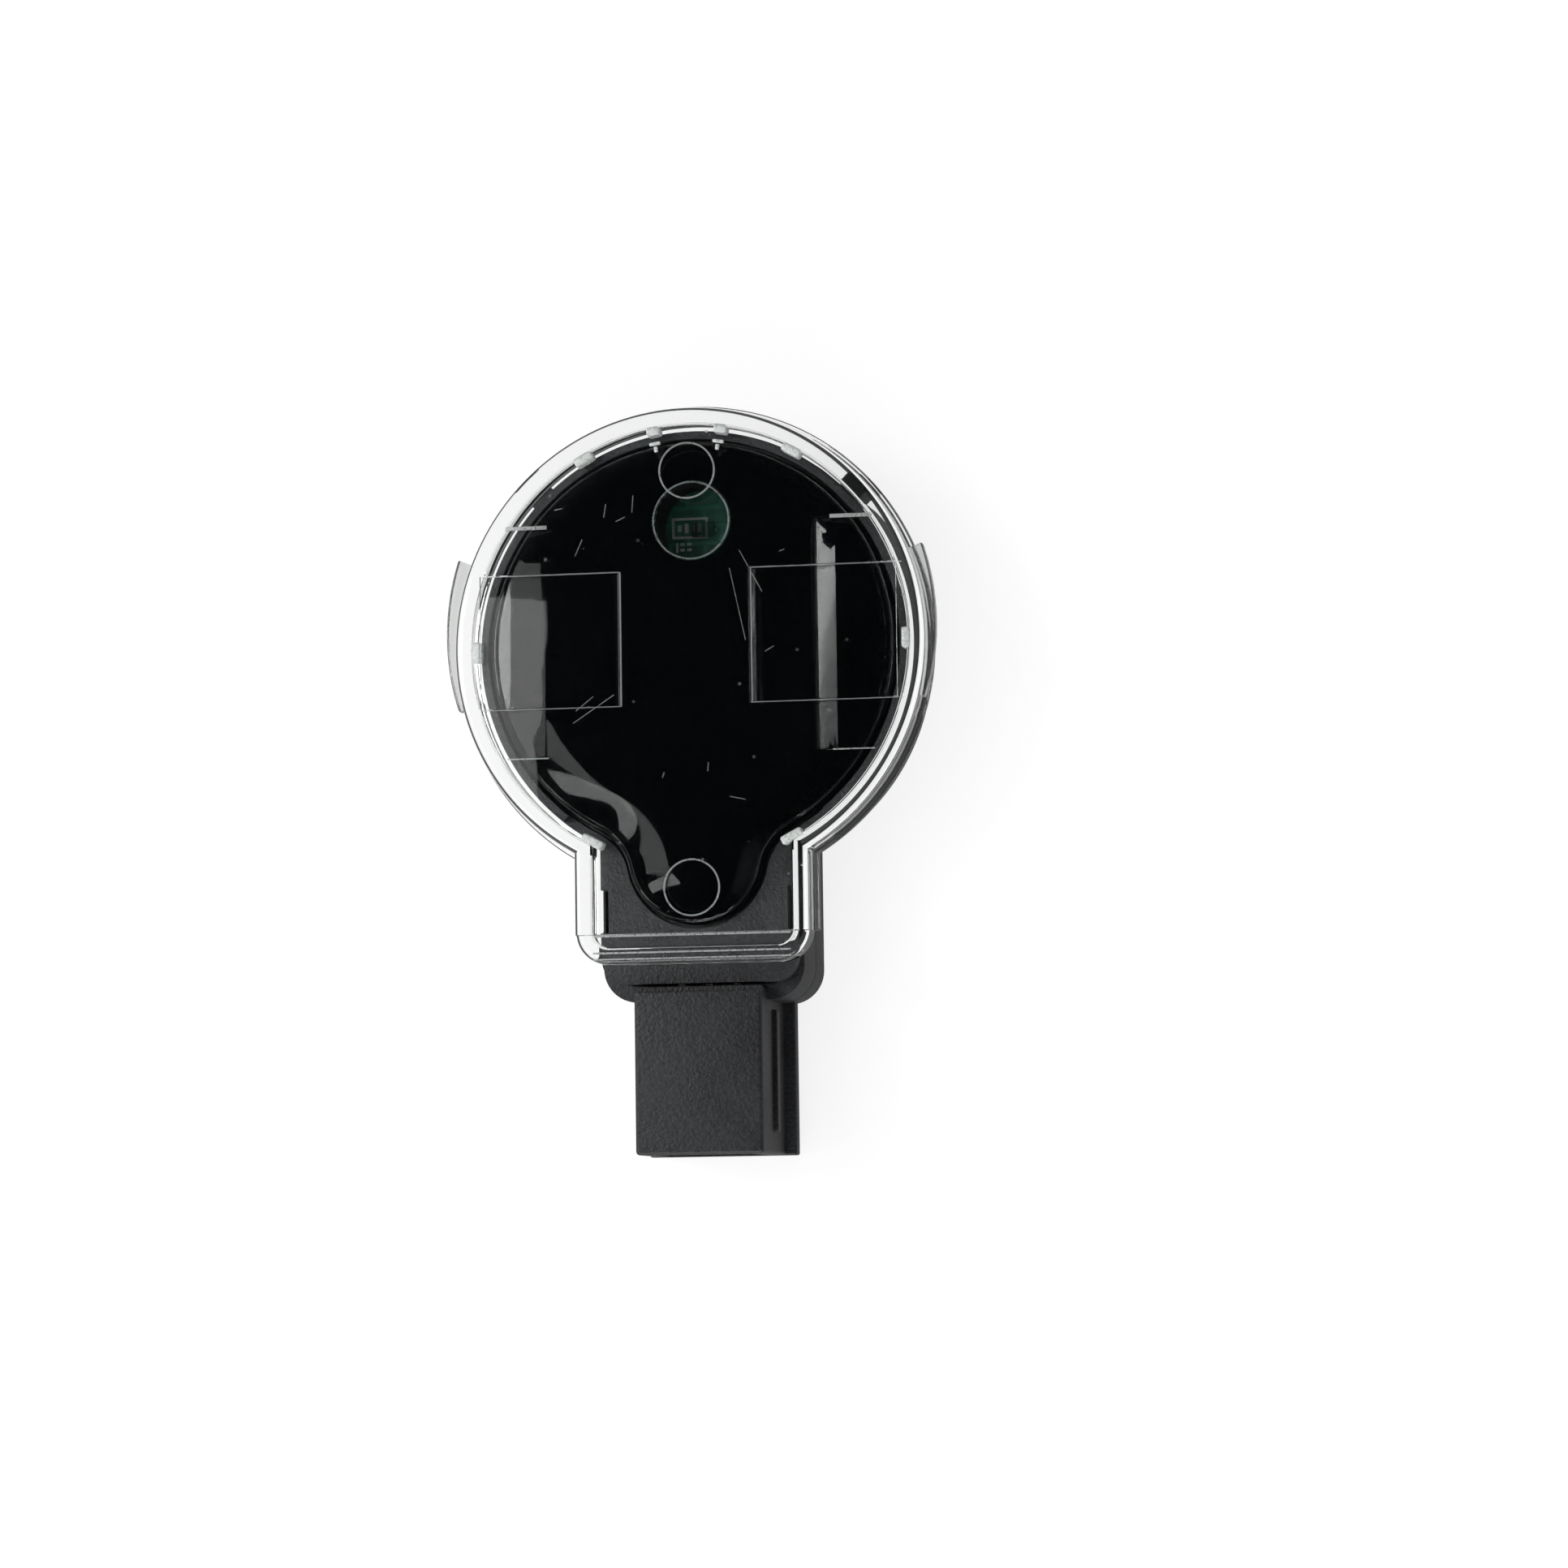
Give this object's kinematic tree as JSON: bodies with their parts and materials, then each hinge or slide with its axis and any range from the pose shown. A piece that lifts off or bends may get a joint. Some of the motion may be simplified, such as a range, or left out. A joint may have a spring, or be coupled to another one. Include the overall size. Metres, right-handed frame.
{
  "type": "vehicle rain and light sensor",
  "caption": "Windscreen rain and light sensor with a keyhole-shaped black body, plug socket, soft optical pad and clear lift-off transport cap.",
  "frame": {"origin": "centre of the round head on the flat rear face", "axes": "+Z out of the optical face, -Y along the neck towards the plug socket, +X to the right seen from the optical face"},
  "size_m": [0.0436, 0.0659, 0.0152],
  "materials": {
    "housing_plastic": "finely textured black moulding",
    "cover_plastic": "finely textured black moulding",
    "lens_black": "polished infrared-pass black",
    "window_clear": "clear polished",
    "pad_clear": "clear soft silicone, gloss surface",
    "cap_clear": "clear injection moulding",
    "lens_clear": "clear polished",
    "baffle_black": "matt black moulding",
    "board_green": "green solder mask",
    "carrier_black": "black moulding",
    "led_clear": "clear moulded package",
    "detector_black": "dark daylight-filter package",
    "tinned_metal": "bright tin plate",
    "pin_tin": "tin-plated brass",
    "chip_black": "moulded epoxy",
    "ceramic_tan": "fired ceramic",
    "resistor_film": "glazed film"
  },
  "bodies": {
    "sensor": {"rear_housing": "housing_plastic", "front_cover": "cover_plastic", "lens_plate": "lens_black", "ambient_window": "window_clear", "optical_pad": "pad_clear", "emitter_lens": "lens_clear", "receiver_lens": "lens_clear", "light_baffle": "baffle_black", "circuit_board": "board_green", "infrared_led_1": "led_clear", "infrared_led_2": "led_clear", "photodiode_1": "detector_black", "photodiode_2": "detector_black", "ambient_light_sensor": "detector_black", "microcontroller": "chip_black", "bus_transceiver": "chip_black", "voltage_regulator": "chip_black", "reverse_polarity_diode": "chip_black", "resonator": "tinned_metal", "capacitor_1": "ceramic_tan", "capacitor_2": "ceramic_tan", "capacitor_3": "ceramic_tan", "capacitor_4": "ceramic_tan", "supply_capacitor": "ceramic_tan", "resistor_1": "resistor_film", "resistor_2": "resistor_film", "resistor_3": "resistor_film", "resistor_4": "resistor_film", "resistor_5": "resistor_film", "resistor_6": "resistor_film", "contact_pin_1": "pin_tin", "contact_pin_2": "pin_tin", "contact_pin_3": "pin_tin", "pin_carrier": "carrier_black"},
    "cap": {"protective_cap": "cap_clear"}
  },
  "joints": [
    {"name": "cap_lift", "type": "slide", "parent": "sensor", "child": "cap", "axis": [0, 0, 1], "range_m": [0, 0.025]}
  ]
}
